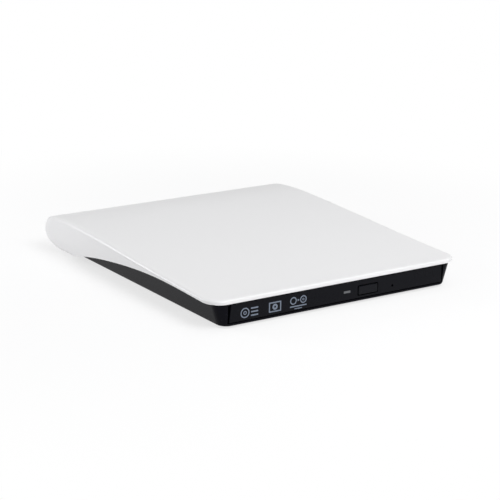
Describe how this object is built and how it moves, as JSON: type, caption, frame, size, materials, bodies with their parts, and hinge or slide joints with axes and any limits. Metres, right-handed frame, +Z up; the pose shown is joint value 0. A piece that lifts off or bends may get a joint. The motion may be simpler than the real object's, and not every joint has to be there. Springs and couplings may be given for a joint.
{
  "type": "external optical disc drive",
  "caption": "Slim external disc drive: white cover rising to a round rear roll, black base, and a tray with spindle and sledge that slides out in front.",
  "frame": {"origin": "on the table, under the middle of the whole object's box", "axes": "+X to the right as seen from the front, +Y to the rear, +Z up; the tray slides out towards -Y"},
  "size_m": [0.1484, 0.1684, 0.0198],
  "materials": {
    "cover_white": "smooth satin gloss, very light grey-white",
    "base_black": "fine-grained black moulding",
    "foot_rubber": "matt black rubber",
    "dark_screws": "black oxide",
    "foam": "open foam",
    "circuit_board": "green solder mask with traces",
    "board_screws": "plain steel",
    "chips": "moulded chips",
    "capacitors": "tinned ends and aluminium can",
    "socket_shell": "bright plated sheet",
    "contact_tongue": "black insulator",
    "connector": "black connector",
    "drive_steel": "zinc-plated sheet, faintly brushed",
    "rail_steel": "sliding steel, drawn along its length",
    "guide": "white slide plastic",
    "flat_cable": "white film with dark lines",
    "tray_plastic": "fine-grained dark grey",
    "bezel_black": "smooth satin black with three pale signs",
    "button_black": "smooth satin black",
    "light_pipe": "smoky grey, unlit",
    "lamp": "clear lamp body",
    "traverse_steel": "stamped sheet",
    "traverse_cover": "black paint",
    "grommets": "soft rubber",
    "steel_screws": "plated",
    "rods": "ground and polished",
    "motor_plate": "yellow-zinc plate",
    "windings": "enamelled copper wire",
    "rotor": "turned can",
    "turntable": "black moulding",
    "seat_ring": "soft ring",
    "hub": "light grey moulding",
    "balls": "polished balls",
    "sled": "die casting",
    "pickup_film": "amber film",
    "magnets": "nickel plate",
    "lens_holder": "black moulding",
    "lens_glass": "clear, faint blue coating",
    "lead_screw": "rolled thread",
    "bearing": "white slide plastic",
    "motor_can": "drawn can",
    "latch_steel": "stamped sheet",
    "ejector_rod": "white slide plastic",
    "spring_wire": "spring wire"
  },
  "bodies": {
    "case": {"top_cover": "cover_white", "base_shell": "base_black", "rubber_feet": "foot_rubber", "case_screws": "dark_screws", "foam_pads": "foam", "usb_bridge_board": "circuit_board", "board_screws": "board_screws", "bridge_chips": "chips", "bridge_capacitors": "capacitors", "usb_socket": "socket_shell", "usb_socket_tongue": "contact_tongue", "bridge_sata_plug": "connector", "drive_sata_socket": "connector", "sata_board": "circuit_board", "drive_chassis": "drive_steel", "drive_lid": "drive_steel", "drive_screws": "steel_screws", "right_rail_guide": "guide", "left_rail_guide": "guide", "latch_post": "rail_steel", "flex_cable": "flat_cable"},
    "tray": {"tray": "tray_plastic", "tray_bezel": "bezel_black", "led_window": "light_pipe", "led_lamp": "lamp", "button_board": "circuit_board", "tact_switch": "chips", "drive_main_board": "circuit_board", "drive_chips": "chips", "traverse_frame": "traverse_steel", "traverse_cover": "traverse_cover", "damper_grommets": "grommets", "traverse_screws": "steel_screws", "spindle_motor_base": "motor_plate", "stator_core": "windings", "guide_rods": "rods", "sled_motor": "motor_can", "screw_bearing": "bearing", "latch_solenoid": "windings", "ejector_plunger": "ejector_rod", "ejector_spring": "spring_wire"},
    "left_rail": {"left_slide_rail": "rail_steel"},
    "right_rail": {"right_slide_rail": "rail_steel"},
    "button": {"eject_button": "button_black", "button_spring": "spring_wire"},
    "spindle": {"motor_rotor": "rotor", "turntable": "turntable", "disc_seat_ring": "seat_ring", "centring_hub": "hub", "chucking_balls": "balls"},
    "sled": {"pickup_sled": "sled", "pickup_board": "pickup_film", "lens_magnets": "magnets"},
    "lens": {"lens_holder": "lens_holder", "objective_lens": "lens_glass"},
    "screw": {"lead_screw": "lead_screw"},
    "latch": {"latch_lever": "latch_steel"}
  },
  "joints": [
    {"name": "tray_slide", "type": "slide", "parent": "case", "child": "tray", "axis": [0, -1, 0], "range_m": [0, 0.125], "deforming": ["flex_cable"]},
    {"name": "left_rail_slide", "type": "slide", "parent": "case", "child": "left_rail", "axis": [0, -1, 0], "range_m": [0, 0.0625]},
    {"name": "right_rail_slide", "type": "slide", "parent": "case", "child": "right_rail", "axis": [0, -1, 0], "range_m": [0, 0.0625]},
    {"name": "eject_button_press", "type": "slide", "parent": "tray", "child": "button", "axis": [0, 1, 0], "range_m": [0, 0.0006], "stiffness_N_per_m": 400, "deforming": ["button_spring"]},
    {"name": "spindle_spin", "type": "hinge", "parent": "tray", "child": "spindle", "pos_m": [0, -0.01865, 0], "axis": [0, 0, 1], "continuous": true},
    {"name": "sled_slide", "type": "slide", "parent": "tray", "child": "sled", "axis": [-0.7071, -0.7071, 0], "range_m": [0, 0.034]},
    {"name": "lead_screw_spin", "type": "hinge", "parent": "tray", "child": "screw", "pos_m": [0.01075, -0.0294, 0.00555], "axis": [-0.7071, -0.7071, 0], "continuous": true},
    {"name": "lens_focus", "type": "slide", "parent": "sled", "child": "lens", "axis": [0, 0, 1], "range_m": [-0.0004, 0.0004], "stiffness_N_per_m": 60},
    {"name": "latch_pivot", "type": "hinge", "parent": "tray", "child": "latch", "pos_m": [0.034, -0.06915, 0.004], "axis": [0, 0, 1], "range_deg": [0, 10]}
  ],
  "couplings": [
    {"joint": "left_rail_slide", "follows": "tray_slide", "ratio": 0.5},
    {"joint": "right_rail_slide", "follows": "tray_slide", "ratio": 0.5},
    {"joint": "lead_screw_spin", "follows": "sled_slide", "rad_per_m": 2094.4}
  ]
}
